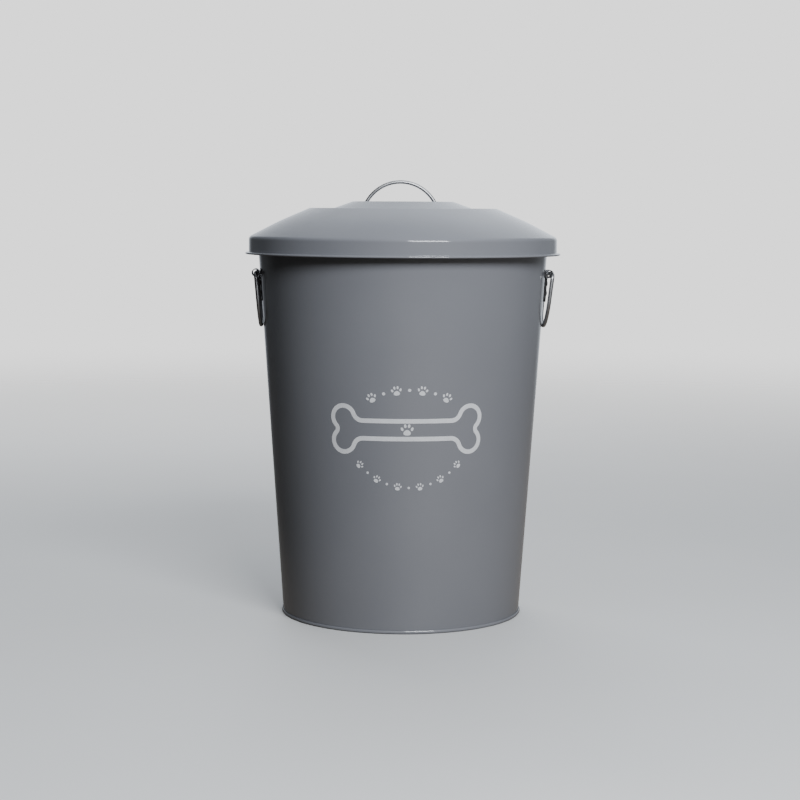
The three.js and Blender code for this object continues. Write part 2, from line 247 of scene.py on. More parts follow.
FLOOR_REACH = 4.0
FLOOR_FADE = (0.5, 0.95 * FLOOR_REACH)  # from the bin
FLOOR_COLOURS = ((0.74, 0.74, 0.73), (0.80, 0.80, 0.79))
BOUNCE = (0.19, 0.165, 0.138)  # the floor's colour as it lights the bin
# painted shade: the floor's bounce colour on the left, darkened to stand in for shadow there
SHADED_LEFT_BOUNCE = (0.045, 0.040, 0.034)
BOUNCE_EDGE = (-0.45, 0.05)  # x in metres, from the painted shade on the left to the plain bounce

LAMP_AIM = Vector((0, 0, 0.3))
LAMP_TINT = (0.93, 0.96, 1.0)

# name, azimuth, elevation, distance, (width, height), watts, whether it shows in the gloss
LAMPS = (
    ("key", 17, 28, 1.7, (0.76, 0.62), 29, True),
    ("back", 195, 30, 2.2, (1.2, 0.9), 20, False),
)


def make_camera():
    camera = bpy.data.objects.new("camera", bpy.data.cameras.new("camera"))
    camera.data.lens = CAMERA_LENS
    around = Matrix.Rotation(CAMERA_AZIMUTH, 4, "Z")
    place = Matrix.Translation((CAMERA_SIDESTEP, -CAMERA_DISTANCE, CAMERA_HEIGHT))
    tilt = Matrix.Rotation(math.pi / 2 - CAMERA_PITCH, 4, "X")
    camera.matrix_world = around @ place @ tilt @ Matrix.Rotation(CAMERA_ROLL, 4, "Z")
    bpy.context.scene.collection.objects.link(camera)
    bpy.context.scene.camera = camera


def area_light(name, azimuth, elevation, distance, size, watts, glossy):
    """A soft light aimed at the bin; azimuth 0 is straight in front of it, 90 on its right."""
    light = bpy.data.lights.new(name, "AREA")
    light.shape = "RECTANGLE"
    light.size, light.size_y = size
    light.energy = watts
    light.color = LAMP_TINT
    turn, rise = math.radians(azimuth), math.radians(elevation)
    out = Vector((math.sin(turn) * math.cos(rise), -math.cos(turn) * math.cos(rise), math.sin(rise)))
    lamp = bpy.data.objects.new(name, light)
    lamp.location = LAMP_AIM + distance * out
    lamp.rotation_euler = out.to_track_quat("Z", "Y").to_euler()
    lamp.visible_glossy = glossy
    bpy.context.scene.collection.objects.link(lamp)


def make_world():
    """A pale backdrop for the camera. What lights the bin is a bright wall behind it and a soft
    ceiling, with a dimmer room in front of it that darkens towards its left."""
    world = bpy.data.worlds.new("studio")
    bpy.context.scene.world = world
    world.use_nodes = True
    tree = Nodes(world.node_tree)
    world.node_tree.nodes.clear()
    direction = tree.node("ShaderNodeTexCoord").outputs["Generated"]
    split = tree.node("ShaderNodeSeparateXYZ")
    tree.links.new(direction, split.inputs[0])
    side = tree.math("ABSOLUTE", tree.math("SUBTRACT", split.outputs["X"], WALL_MIDDLE))
    wall = tree.ramp(split.outputs["Y"], *WALL_FACING, 0, WALL_GLOW)
    wall = tree.math("MULTIPLY", wall, tree.ramp(side, *WALL_SIDES, 1, WALL_SIDE_SHARE))
    wall = tree.math("MULTIPLY", wall, tree.ramp(split.outputs["Z"], *WALL_FOOT, WALL_FOOT_SHARE, 1))
    ceiling = tree.ramp(split.outputs["Z"], *CEILING_EDGE, 0, CEILING_GLOW)
    shade = tree.ramp(split.outputs["X"], *LEFT_EDGE, LEFT_SHARE, 1)
    glow = tree.math("MULTIPLY", tree.math("ADD", wall, ceiling), shade)
    room = tree.ramp(split.outputs["X"], *ROOM_SIDES, ROOM_DARK, ROOM_GLOW)
    light = tree.node("ShaderNodeBackground")
    light.inputs["Color"].default_value = (*GLOW_TINT, 1)
    tree.links.new(tree.math("ADD", glow, room), light.inputs["Strength"])
    seen = tree.node("ShaderNodeBackground")
    seen.inputs["Color"].default_value = (*BACKDROP, 1)
    mix = tree.node("ShaderNodeMixShader")
    out = tree.node("ShaderNodeOutputWorld")
    tree.links.new(tree.node("ShaderNodeLightPath").outputs["Is Camera Ray"], mix.inputs[0])
    tree.links.new(light.outputs[0], mix.inputs[1])
    tree.links.new(seen.outputs[0], mix.inputs[2])
    tree.links.new(mix.outputs[0], out.inputs["Surface"])


def make_floor():
    """A pale floor that fades into the backdrop; what it throws back on the bin is a dull brown,
    darkened towards the left by painted shade.
    """
    bm = bmesh.new()
    bmesh.ops.create_circle(bm, cap_ends=True, segments=FLOOR_STEPS, radius=FLOOR_REACH)
    mesh = bpy.data.meshes.new("floor")
    bm.to_mesh(mesh)
    bm.free()
    floor = bpy.data.objects.new("floor", mesh)
    bpy.context.scene.collection.objects.link(floor)
    paint = Paint("floor")
    pale = paint.mixed(paint.noise(3.0, detail=4), *FLOOR_COLOURS)
    camera = paint.node("ShaderNodeLightPath").outputs["Is Camera Ray"]
    across = paint.node("ShaderNodeSeparateXYZ")
    paint.links.new(paint.place, across.inputs[0])
    # painted shade: towards the left, the colour that lights the bin darkens, standing in for shadow
    # on the floor there
    bounce_and_shade = paint.mixed(paint.ramp(across.outputs["X"], *BOUNCE_EDGE), SHADED_LEFT_BOUNCE, BOUNCE)
    paint.colour(camera, bounce_and_shade, pale)
    paint.set("Roughness", 0.6)
    paint.set("Specular IOR Level", 0.2)
    away = paint.node("ShaderNodeVectorMath")
    away.operation = "LENGTH"
    paint.links.new(paint.place, away.inputs[0])
    clear = paint.node("ShaderNodeBsdfTransparent")
    mix = paint.node("ShaderNodeMixShader")
    paint.links.new(paint.ramp(away.outputs["Value"], *FLOOR_FADE), mix.inputs[0])
    paint.links.new(paint.shader.outputs[0], mix.inputs[1])
    paint.links.new(clear.outputs[0], mix.inputs[2])
    paint.links.new(mix.outputs[0], paint.nodes["Material Output"].inputs["Surface"])
    mesh.materials.append(paint.material)


def make_studio():
    make_camera()
    make_world()
    make_floor()
    for lamp in LAMPS:
        area_light(*lamp)


# ---------- procedural materials ----------


class Paint(Nodes):
    """A Principled material."""

    def __init__(self, name):
        self.material = bpy.data.materials.new(name)
        self.material.use_nodes = True
        super().__init__(self.material.node_tree)
        self.shader = self.nodes["Principled BSDF"]
        self.place = self.node("ShaderNodeTexCoord").outputs["Object"]
        self.normal = None

    def set(self, socket, value):
        self.shader.inputs[socket].default_value = value

    def stretched(self, scale):
        """Object coordinates scaled apart along each axis."""
        mapping = self.node("ShaderNodeMapping")
        mapping.inputs["Scale"].default_value = scale
        self.links.new(self.place, mapping.inputs["Vector"])
        return mapping.outputs["Vector"]

    def noise(self, scale, detail=3.0, vector=None, roughness=0.5):
        node = self.node("ShaderNodeTexNoise")
        node.inputs["Scale"].default_value = scale
        node.inputs["Detail"].default_value = detail
        node.inputs["Roughness"].default_value = roughness
        self.links.new(vector or self.place, node.inputs["Vector"])
        return node.outputs["Fac"]

    def mixed(self, share, first, second):
        node = self.node("ShaderNodeMix")
        node.data_type = "RGBA"
        self.links.new(share, node.inputs["Factor"])
        for socket, colour in ((node.inputs[6], first), (node.inputs[7], second)):
            if isinstance(colour, tuple):
                socket.default_value = (*colour, 1)
            else:
                self.links.new(colour, socket)
        return node.outputs[2]

    def colour(self, share, first, second):
        mixed = self.mixed(share, first, second)
        self.links.new(mixed, self.shader.inputs["Base Color"])
        return mixed

    def rough(self, value, smooth, rough):
        self.links.new(self.ramp(value, 0.3, 0.7, smooth, rough), self.shader.inputs["Roughness"])

    def bump(self, height, strength, depth):
        node = self.node("ShaderNodeBump")
        node.inputs["Strength"].default_value = strength
        node.inputs["Distance"].default_value = depth
        self.links.new(height, node.inputs["Height"])
        if self.normal is not None:
            self.links.new(self.normal, node.inputs["Normal"])
        self.normal = node.outputs["Normal"]
        self.links.new(self.normal, self.shader.inputs["Normal"])


def enamel():
    """Grey powder coat: a broad sheen under a thin gloss, with slight orange peel, faint clouds of
    tone and soft smudges."""
    paint = Paint("enamel")
    cloud = paint.noise(7, detail=3)
    speck = paint.noise(900, detail=2)
    tone = paint.math("MULTIPLY_ADD", speck, 0.25, cloud)
    paint.colour(paint.ramp(tone, 0.4, 0.85), (0.221, 0.228, 0.252), (0.239, 0.246, 0.270))
    smudge = paint.noise(16, detail=4, roughness=0.6)
    paint.rough(smudge, 0.56, 0.66)
    paint.bump(paint.noise(380, detail=1), 0.06, 0.05 * MM)
    paint.bump(paint.noise(12, detail=1), 0.08, 0.4 * MM)
    paint.set("Coat Weight", 1.0)
    paint.set("Coat Roughness", 0.06)
    paint.set("Coat IOR", 1.6)
    paint.links.new(paint.normal, paint.shader.inputs["Coat Normal"])
    return paint.material


def drawn_wire():
    """Bright drawn steel wire: a fine grain, and a little dulling in patches."""
    paint = Paint("drawn_wire")
    patch = paint.noise(60, detail=4)
    paint.colour(paint.ramp(patch, 0.35, 0.7), (0.43, 0.43, 0.435), (0.51, 0.51, 0.515))
    paint.set("Metallic", 1.0)
    paint.rough(paint.noise(120, detail=3), 0.35, 0.43)
    paint.bump(paint.noise(500, detail=2), 0.03, 0.02 * MM)
    return paint.material


def shade_darkened_strip():
    """Plated mild-steel strip, more satin than the wire; its colour is painted shade, far darker
    than steel's own, as the clips sit in shadow.
    """
    paint = Paint("shade_darkened_strip")
    patch = paint.noise(45, detail=5)
    # painted shade: both tones sit far below steel's own colour; the ears share them
    paint.colour(paint.ramp(patch, 0.35, 0.7), (0.16, 0.16, 0.165), (0.25, 0.25, 0.255))
    paint.set("Metallic", 1.0)
    rolled = paint.stretched((60, 700, 60))
    paint.rough(paint.noise(5, detail=4, vector=rolled), 0.30, 0.48)
    paint.bump(paint.noise(3, detail=3, vector=rolled), 0.2, 0.04 * MM)
    return paint.material


def rivet_steel():
    paint = Paint("rivet_steel")
    patch = paint.noise(220, detail=4)
    paint.colour(paint.ramp(patch, 0.35, 0.7), (0.30, 0.30, 0.305), (0.42, 0.42, 0.425))
    paint.set("Metallic", 1.0)
    paint.rough(patch, 0.26, 0.42)
    paint.bump(paint.noise(600, detail=2), 0.2, 0.05 * MM)
    return paint.material


def print_ink():
    """White screen-print ink, a little uneven and thinly speckled with the coat below."""
    paint = Paint("print_ink")
    pinhole = paint.ramp(paint.noise(1100, detail=2), 0.60, 0.72)
    cover = paint.noise(90, detail=4)
    ink = paint.mixed(paint.ramp(cover, 0.3, 0.7), (0.85, 0.86, 0.885), (0.91, 0.92, 0.945))
    paint.colour(pinhole, ink, (0.66, 0.67, 0.70))
    paint.rough(cover, 0.38, 0.52)
    paint.bump(paint.noise(500, detail=2), 0.15, 0.03 * MM)
    return paint.material


# ---------- outlines ----------


def arc(centre, radius, start, end):
    step = TIGHT_STEP if radius < WIDE_BEND else WIDE_STEP
    steps = max(1, math.ceil(abs(end - start) / step - 1e-6))
    angles = [start + (end - start) * i / steps for i in range(steps + 1)]
    return [centre + radius * Vector((math.cos(a), math.sin(a))) for a in angles]


def route(corners):
    """Points through corners (x, y, bend radius); each corner with a radius becomes an arc."""
    points = []
    for i, (x, y, *bend) in enumerate(corners):
        corner = Vector((x, y))
        if not bend:
            points.append(corner)
            continue
        back = (Vector(corners[i - 1][:2]) - corner).normalized()
        ahead = (Vector(corners[i + 1][:2]) - corner).normalized()
        half = math.acos(back.dot(ahead)) / 2
        centre = corner + (back + ahead).normalized() * bend[0] / math.sin(half)
        begin = corner + back * bend[0] / math.tan(half) - centre
        turn = math.copysign(math.pi - 2 * half, ahead.cross(back))
        start = math.atan2(begin.y, begin.x)
        points += arc(centre, bend[0], start, start + turn)
    return points


def sides(middle, thickness):
    """The two faces of a sheet bent along a route: its left and its right."""
    left, right = [], []
    for i, here in enumerate(middle):
        into = here - middle[i - 1] if i else middle[1] - here
        away = middle[i + 1] - here if i + 1 < len(middle) else into
        normals = [Vector((-way.y, way.x)).normalized() for way in (into, away)]
        mitre = (normals[0] + normals[1]) * thickness / 2 / (1 + normals[0].dot(normals[1]))
        left.append(here + mitre)
        right.append(here - mitre)
    return left, right


def round_end(end, before, thickness):
    """Points round the free end of a sheet, from its left face to its right."""
    way = (end - before).normalized()
    centre = end - way * thickness / 2
    across = math.atan2(way.x, -way.y)
    return [
        centre + thickness / 2 * Vector((math.cos(across - a), math.sin(across - a)))
        for a in (math.pi * i / END_STEPS for i in range(END_STEPS + 1))
    ]


def sheet_outline(middle, thickness, first_round=True):
    """The closed outline of a bent sheet, with its free ends rounded."""
    left, right = sides(middle, thickness)
    end = round_end(middle[-1], middle[-2], thickness)
    outline = left[1:-1] + end + right[-2:0:-1]
    if first_round:
        return outline + round_end(middle[0], middle[1], thickness)
    return left[:1] + outline + right[:1]


# ---------- meshes ----------


def piece(name, bm, material, slot, body, *nodes):
    """Makes the object, shades it smooth between its sharp edges, and ties it to the frame."""
    bmesh.ops.recalc_face_normals(bm, faces=bm.faces)
    for face in bm.faces:
        face.smooth = True
    for edge in bm.edges:
        edge.smooth = edge.calc_face_angle(0) < SHARP
    mesh = bpy.data.meshes.new(name)
    bm.to_mesh(mesh)
    bm.free()
    mesh.materials.append(material)
    made = bpy.data.objects.new(name, mesh)
    bpy.context.scene.collection.objects.link(made)
    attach(made, body)
    if nodes:
        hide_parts(*nodes)
    return made


def bridge(bm, first, second, closed=True):
    """Faces between two rows of vertices; a row of one vertex is a pole."""
    count = max(len(first), len(second))
    for i in range(count if closed else count - 1):
        j = (i + 1) % count
        if len(first) == 1:
            bm.faces.new((first[0], second[i], second[j]))
        elif len(second) == 1:
            bm.faces.new((first[i], second[0], first[j]))
        else:
            bm.faces.new((first[i], second[i], second[j], first[j]))


def turned(outline, steps=TURN_STEPS, angles=None, push=None):
    """An outline of radius and height turned about Z. It is closed, or starts and ends on the axis.
    push(point, angle) moves a point outwards."""
    bm = bmesh.new()
    angles = angles or [2 * math.pi * i / steps for i in range(steps)]
    rows = []
    for point in outline:
        if point.x < TINY:
            rows.append([bm.verts.new((0, 0, point.y))])
            continue
        row = []
        for angle in angles:
            radius = point.x + (push(point, angle) if push else 0)
            row.append(bm.verts.new((radius * math.sin(angle), -radius * math.cos(angle), point.y)))
        rows.append(row)
    pairs = zip(rows, rows[1:] if len(rows[0]) == 1 else rows[1:] + rows[:1])
    for first, second in pairs:
        bridge(bm, first, second)
    return bm


def wire(points, radius, normal):
    """A round wire along points that lie in a plane; its ends are chamfered."""
    bm = bmesh.new()
    rows = []
    last = len(points) - 1
    for i, here in enumerate(points):
        into = (here - points[max(i - 1, 0)]).normalized()
        away = (points[min(i + 1, last)] - here).normalized()
        along = (into + away).normalized()
        across = along.cross(normal)
        rows.append((here, along, across, radius))
    for index, sign in ((0, -1), (last, 1)):
        here, along, across, _ = rows[index]
        rows[index] = (here - sign * along * radius * WIRE_CHAMFER, along, across, radius)
        tip = (here, along, across, radius * WIRE_TIP)
        rows.insert(0 if sign < 0 else len(rows), tip)
    rings = []
    for here, _, across, reach in rows:
        turns = [2 * math.pi * k / WIRE_SIDES for k in range(WIRE_SIDES)]
        rings.append([
            bm.verts.new(here + reach * (across * math.cos(a) + normal * math.sin(a)))
            for a in turns
        ])
    for first, second in zip(rings, rings[1:]):
        bridge(bm, first, second)
    bm.faces.new(rings[0])
    bm.faces.new(rings[-1])
    return bm


def bent_strip(middle, half_widths, thickness):
    """A sheet bent along a route in X and Z, as wide along Y as half_widths says at each point."""
    bm = bmesh.new()
    left, right = sides(middle, thickness)
    rows = []
    for above, below, half in zip(left, right, half_widths):
        spots = ((above, -half), (above, half), (below, half), (below, -half))
        rows.append([bm.verts.new((spot.x, y, spot.y)) for spot, y in spots])
    for first, second in zip(rows, rows[1:]):
        bridge(bm, first, second)
    bm.faces.new(rows[0])
    bm.faces.new(rows[-1])
    return bm


def soften(made, width):
    """Rounds the sheared edges of a strip."""
    bevel = made.modifiers.new("edges", "BEVEL")
    bevel.width = width
    bevel.segments = BEVEL_STEPS
    bevel.limit_method = "ANGLE"
    bevel.angle_limit = BEVEL_FROM
    bevel.harden_normals = True


def rivet(head_at, tail_at, head, dome, tail, tail_height):
    """A rivet along Z: a domed head with a small rolled edge, and a flat tail."""
    crown = [
        Vector((head * math.cos(a), head_at + RIVET_EDGE + (dome - RIVET_EDGE) * math.sin(a)))
        for a in (math.pi / 2 * i / DOME_STEPS for i in range(DOME_STEPS))
    ]
    outline = [
        Vector((0, tail_at - tail_height)),
        Vector((tail - RIVET_EDGE, tail_at - tail_height)),
        Vector((tail, tail_at - tail_height + RIVET_EDGE)),
        Vector((tail, tail_at)),
        Vector((tail * RIVET_SHANK, tail_at)),
        Vector((tail * RIVET_SHANK, head_at)),
        Vector((head - RIVET_EDGE, head_at)),
        *crown,
        Vector((0, head_at + dome)),
    ]
    return turned(outline, steps=RIVET_STEPS)


# ---------- wall, rim and base ----------


def wall_middle():
    """The middle of the wall's sheet from its foot to the end of the curl."""
    curl = arc(RIM, CURL, math.pi - TAPER, CURL_END)
    heights = [SEAM_LOW, SEAM_LOW + SEAM_END, SEAM_HIGH - SEAM_END, SEAM_HIGH]
    upright = [Vector((wall_radius(z) - SHEET / 2, z)) for z in heights]
    return [FOOT, *upright, *curl]


def lap(point, angle):
    """How far the outer layer of the lap stands out."""
    outside = point.x > wall_radius(point.y) - SHEET / 4
    if not outside or not SEAM_LOW < point.y < SEAM_HIGH:
        return 0
    past = angle - math.pi
    if past > SEAM_ANGLE or past < -SEAM_FADE:
        return 0
    return SEAM_RISE * min(1, (past + SEAM_FADE) / (SEAM_FADE - SEAM_ANGLE))


def make_wall(coat):
    angles = [2 * math.pi * i / TURN_STEPS for i in range(TURN_STEPS)]
    angles += [math.pi + SEAM_ANGLE, math.pi + SEAM_ANGLE + SEAM_EDGE]
    outline = sheet_outline(wall_middle(), SHEET)
    bm = turned(outline, angles=sorted(angles), push=lap)
    piece("wall", bm, coat, "painted_steel", "bin", "body_wall")


def make_rim_wire(steel):
    turns = [2 * math.pi * i / RIM_SIDES for i in range(RIM_SIDES)]
    outline = [RIM + RIM_WIRE * Vector((math.cos(a), math.sin(a))) for a in turns]
    piece("rim_core", turned(outline), steel, "rivet_steel", "bin", "rim_wire")


def make_base(coat):
    inside = wall_radius(0) - 1.5 * SHEET - GAP
    outside = BASE_HIGH.x - SHEET / 2
    middle = route([
        (0, BASE_FLOOR),
        (DIP_INNER - DIP_SLOPE, BASE_FLOOR, DIP_BEND),
        (DIP_INNER, BASE_FLOOR - DIP_DEPTH, DIP_BEND),
        (DIP_OUTER, BASE_FLOOR - DIP_DEPTH, DIP_BEND),
        (DIP_OUTER + DIP_SLOPE, BASE_FLOOR, DIP_OUTER_BEND),
        (inside, BASE_FLOOR, BASE_BEND),
        (inside, SHEET / 2, BEAD_INNER_BEND),
        (outside + BEAD_BULGE, SHEET / 2, BEAD_FOOT_BEND),
        (outside + BEAD_BULGE, BEAD_MIDDLE, BEAD_BEND),
        (outside, CRIMP_HEIGHT),
    ])
    bm = turned(sheet_outline(middle, SHEET, first_round=False))
    piece("base", bm, coat, "painted_steel", "bin", "base_pan")


# ---------- lid ----------


def make_lid(coat):
    fold = Vector((LID_HIGH.x - SHEET / 2 - HEM, LIP - HEM))
    middle = route([
        (0, CREST - DISH_DEPTH),
        (DISH_RADIUS, CREST - DISH_DEPTH, DISH_BEND),
        (DISH_RADIUS + DISH_LEAN, CREST, CREST_BEND),
        (DISH_RADIUS + DISH_LEAN + CREST_WIDTH, CREST, CREST_BEND),
        (STEP_INNER, STEP, STEP_INNER_BEND),
        (STEP_OUTER, STEP, STEP_OUTER_BEND),
        (*CONE_MIDDLE, CONE_BOW),
        (SKIRT, SKIRT_TOP, SHOULDER_BEND),
        (SKIRT, LIP, LIP_BEND),
        (fold.x, LIP),
    ])
    hem = arc(fold, HEM, math.pi / 2, -math.pi / 2)[1:]
    middle += hem + [Vector((HEM_END, LIP - 2 * HEM))]
    bm = turned(sheet_outline(middle, SHEET, first_round=False))
    piece("lid", bm, coat, "painted_steel", "lid", "lid_shell")


def make_bail(steel):
    pivot = PIVOTS["bail_fold"].z
    top = BAIL_HIGH.z - BAIL_WIRE
    centre = top - BAIL_ARCH
    leg = math.asin((BAIL_LEG_END - centre) / BAIL_ARCH)
    knee = BAIL_ARCH * math.cos(leg) + (BAIL_LEG_END - pivot) * math.tan(leg)
    arch = [tuple(p) for p in arc(Vector((0, centre)), BAIL_ARCH, leg, math.pi - leg)]
    middle = route([
        (knee - BAIL_TIP, pivot),
        (knee, pivot, BAIL_KNEE),
        *arch,
        (-knee, pivot, BAIL_KNEE),
        (-knee + BAIL_TIP, pivot),
    ])
    slid = (BAIL_LOW.x + BAIL_HIGH.x) / 2
    bm = wire([Vector((p.x + slid, 0, p.y)) for p in middle], BAIL_WIRE, Vector((0, 1, 0)))
    piece("bail_wire", bm, steel, "bright_wire", "bail", "lid_bail")


def cut(made, cutter_bm):
    """Subtracts a closed mesh from a piece, and keeps the result as its mesh."""
    mesh = bpy.data.meshes.new("cutter")
    cutter_bm.to_mesh(mesh)
    cutter_bm.free()
    cutter = bpy.data.objects.new("cutter", mesh)
    bpy.context.scene.collection.objects.link(cutter)
    hole = made.modifiers.new("hole", "BOOLEAN")
    hole.object = cutter
    hole.solver = "EXACT"
    evaluated = made.evaluated_get(bpy.context.evaluated_depsgraph_get())
    result = bpy.data.meshes.new_from_object(evaluated)
    made.modifiers.clear()
    made.data = result
    bpy.data.objects.remove(cutter)


def round_start(middle, halves, corner):
    """Splits the straight start of a strip's route so that its two corners are rounded."""
    way = (middle[1] - middle[0]).normalized()
    turns = [math.pi / 2 * i / CORNER_STEPS for i in range(1, CORNER_STEPS + 1)]
    spots = [middle[0] + way * corner * (1 - math.cos(a)) for a in turns]
    spans = [halves[0] - corner * (1 - math.sin(a)) for a in turns]
    return [middle[0], *spots, *middle[1:]], [halves[0] - corner, *spans, *halves[1:]]


def make_ears(strip):
    """An L of strip on each side, its upright leaf round-topped and bored for the bail."""
    tab = EAR_LOW.z + EAR_SHEET / 2
    half = (EAR_HIGH.y - EAR_LOW.y) / 2
    middle = route([(EAR_LOW.x, tab), (EAR_LEAF, tab, EAR_BEND), (EAR_LEAF, EAR_HIGH.z)])[:-1]
    middle, halves = round_start(middle, [half] * len(middle), STRIP_CORNER)
    for angle in (EAR_STEP * i for i in range(1, EAR_STEPS + 1)):
        middle.append(Vector((EAR_LEAF, EAR_HIGH.z - half + half * math.sin(angle))))
        halves.append(half * math.cos(angle))
    for side, label in ((1, "right"), (-1, "left")):
        bm = bent_strip(middle, halves, EAR_SHEET)
        if side < 0:
            bmesh.ops.transform(bm, matrix=Matrix.Rotation(math.pi, 4, "Z"), verts=bm.verts)
        made = piece(f"ear_{label}", bm, strip, "clip_steel", "lid", f"lid_ear_{label}")
        hole = bmesh.new()
        place = Matrix.Translation((side * EAR_LEAF, 0, PIVOTS["bail_fold"].z))
        bmesh.ops.create_cone(
            hole,
            segments=HOLE_SIDES,
            cap_ends=True,
            radius1=EAR_HOLE,
            radius2=EAR_HOLE,
            depth=EAR_BORE,
            matrix=place @ Matrix.Rotation(math.pi / 2, 4, "Y"),
        )
        cut(made, hole)
        soften(made, EAR_EDGE)


def make_ear_rivets(steel):
    for side in ("left", "right"):
        for row in ("front", "back"):
            node = f"{side}_ear_rivet_{row}"
            low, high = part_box(node)
            centre = (low + high) / 2
            bm = rivet(high.z - EAR_RIVET["dome"], low.z + EAR_RIVET["tail_height"], **EAR_RIVET)
            bmesh.ops.translate(bm, vec=(centre.x, centre.y, 0), verts=bm.verts)
            piece(f"ear_rivet_{side}_{row}", bm, steel, "rivet_steel", "lid", node)


# ---------- drop handles ----------
# Made about the pivot, with x away from the wall and z up along it.


def on_wall(side):
    """The place of a handle's pivot on the bin, leaning with the wall."""
    pivot = PIVOTS[f"{side}_handle_swing"]
    turn = 0 if side == "right" else math.pi
    return (Matrix.Translation(pivot) @ Matrix.Rotation(turn, 4, "Z")
            @ Matrix.Rotation(TAPER, 4, "Y"))


def stand_off(side):
    """How far a ring's pivot is from the wall, measured square to it."""
    pivot = PIVOTS[f"{side}_handle_swing"]
    return (abs(pivot.x) - wall_radius(pivot.z)) * math.cos(TAPER)


def on_clip(side):
    """The place of the clip's loop, in which the ring's bar has a little play."""
    return on_wall(side) @ Matrix.Translation((CLIP_STAND_OFF - stand_off(side), 0, 0))


def make_ring(side, steel):
    """A D of wire whose ends meet in the clip. Its bottom run rests on the wall."""
    half = (RING_HIGH.y - RING_LOW.y) / 2 - RING_WIRE
    middle = route([
        (RING_BUTT, 0),
        (half, 0, RING_TOP_BEND),
        (half, -RING_DROP, RING_BOTTOM_BEND),
        (-half, -RING_DROP, RING_BOTTOM_BEND),
        (-half, 0, RING_TOP_BEND),
        (-RING_BUTT, 0),
    ])
    bm = wire([Vector((0, p.x, p.y)) for p in middle], RING_WIRE, Vector((1, 0, 0)))
    lean = math.asin((stand_off(side) - RING_WIRE - GAP) / RING_DROP)
    place = on_wall(side) @ Matrix.Rotation(lean, 4, "Y")
    bmesh.ops.transform(bm, matrix=place, verts=bm.verts)
    piece(f"{side}_ring", bm, steel, "bright_wire", f"{side}_handle", f"{side}_handle_ring")


def clip_middle():
    """A hairpin of strip: up the wall, over the ring's bar, tucked under it and down again."""
    front = -CLIP_LOOP + SHEET + GAP
    neck = arc(Vector((0, 0)), CLIP_LOOP, math.pi, CLIP_TUCK)
    end = neck[-1]
    knee = end.y - (end.x - front) * math.tan(math.pi / 2 + CLIP_TUCK)
    tail = route([tuple(end), (front, knee, CLIP_BEND), (front, -CLIP_DROP)])
    return [Vector((-CLIP_LOOP, -CLIP_DROP)), *neck, *tail[1:]]


def make_clip(side, strip):
    half = (CLIP_HIGH.y - CLIP_LOW.y) / 2
    middle = clip_middle()
    halves = [half] * len(middle)
    for _ in range(2):
        middle, halves = round_start(middle, halves, STRIP_CORNER)
        middle.reverse()
        halves.reverse()
    bm = bent_strip(middle, halves, SHEET)
    bmesh.ops.transform(bm, matrix=on_clip(side), verts=bm.verts)
    made = piece(f"{side}_clip", bm, strip, "clip_steel", "bin", f"{side}_handle_clip")
    soften(made, STRIP_EDGE)


def make_clip_rivets(side, steel):
    head_at = -CLIP_LOOP + SHEET + GAP + SHEET / 2
    tail_at = -CLIP_STAND_OFF - SHEET - TAIL_GAP
    for level, drop in CLIP_RIVET_DROPS.items():
        bm = rivet(head_at, tail_at, **CLIP_RIVET)
        place = on_clip(side) @ Matrix.Translation((0, 0, -drop))
        place = place @ Matrix.Rotation(math.pi / 2, 4, "Y")
        bmesh.ops.transform(bm, matrix=place, verts=bm.verts)
        piece(f"{side}_rivet_{level}", bm, steel, "rivet_steel", "bin", f"{side}_clip_rivet_{level}")


# ---------- print ----------
# Drawn flat, in metres across and up from its centre, then wrapped on the front of the wall.

PRINT_CENTRE = 196 * MM
PRINT_LIFT = 0.03 * MM
INK = 0.05 * MM
WRAP_STEP = 2.5 * MM
BONE_KNOBS = Vector((61, 11)) * MM  # centre of one of its four knobs
BONE_KNOB = 13 * MM
BONE_THROAT = 7 * MM  # bend between a knob and the shaft
BONE_DIP = 2.5 * MM  # bend between two knobs
BONE_SHAFT = 10.5 * MM
BONE_STROKE = 4.2 * MM
BONE_PAW = 12 * MM
PRINT_REACH = 80 * MM
EGG_POINTS = 28

# Rows of paws and dots by turns along an arc: the arc's centre and radius, half the angle that it
# spans, how many there are, a paw's size, and whether it bulges upwards.
ROWS = (
    (Vector((2, -45.4)) * MM, 83 * MM, math.radians(25), 7, 9.8 * MM, True),
    (Vector((2, 9.1)) * MM, 64 * MM, math.radians(48), 11, 7.7 * MM, False),
)
PAW_PAD = ((0, -0.20), 0.56, 0.44)  # place, width and height, as shares of the paw's size
PAW_TOES = ((-0.39, 0.08, 0.45), (-0.15, 0.32, 0.12), (0.15, 0.32, -0.12), (0.39, 0.08, -0.45))
PAW_TAPER = 0.25  # how much narrower the pad is at its top
PAW_TOE = (0.20, 0.30)
DOT = 0.3  # a dot's width, as a share of the paw's size


def bone(grow):
    """A bone's outline, moved outwards all round by grow."""
    knob, throat, dip = BONE_KNOB + grow, BONE_THROAT - grow, BONE_DIP - grow
    shaft = BONE_SHAFT + grow
    top = shaft + throat
    neck = Vector((BONE_KNOBS.x - math.sqrt((knob + throat) ** 2 - (top - BONE_KNOBS.y) ** 2), top))
    notch = Vector((BONE_KNOBS.x + math.sqrt((knob + dip) ** 2 - BONE_KNOBS.y ** 2), 0))
    rise = math.atan2(BONE_KNOBS.y - neck.y, BONE_KNOBS.x - neck.x)
    fall = math.atan2(-BONE_KNOBS.y, notch.x - BONE_KNOBS.x)
    upper = arc(neck, throat, -math.pi / 2, rise)
    upper += arc(BONE_KNOBS, knob, math.pi + rise, fall)[1:]
    upper += arc(notch, dip, math.pi + fall, math.pi)[1:]
    right = upper + [Vector((p.x, -p.y)) for p in reversed(upper[:-1])]
    return right + [Vector((-p.x, -p.y)) for p in right]


def egg(centre, width, height, turn=0.0, taper=0.0):
    points = []
    for a in (2 * math.pi * i / EGG_POINTS for i in range(EGG_POINTS)):
        x = width / 2 * math.cos(a) * (1 - taper * math.sin(a))
        spot = Vector((x, height / 2 * math.sin(a)))
        spot.rotate(Matrix.Rotation(turn, 2))
        points.append(centre + spot)
    return points


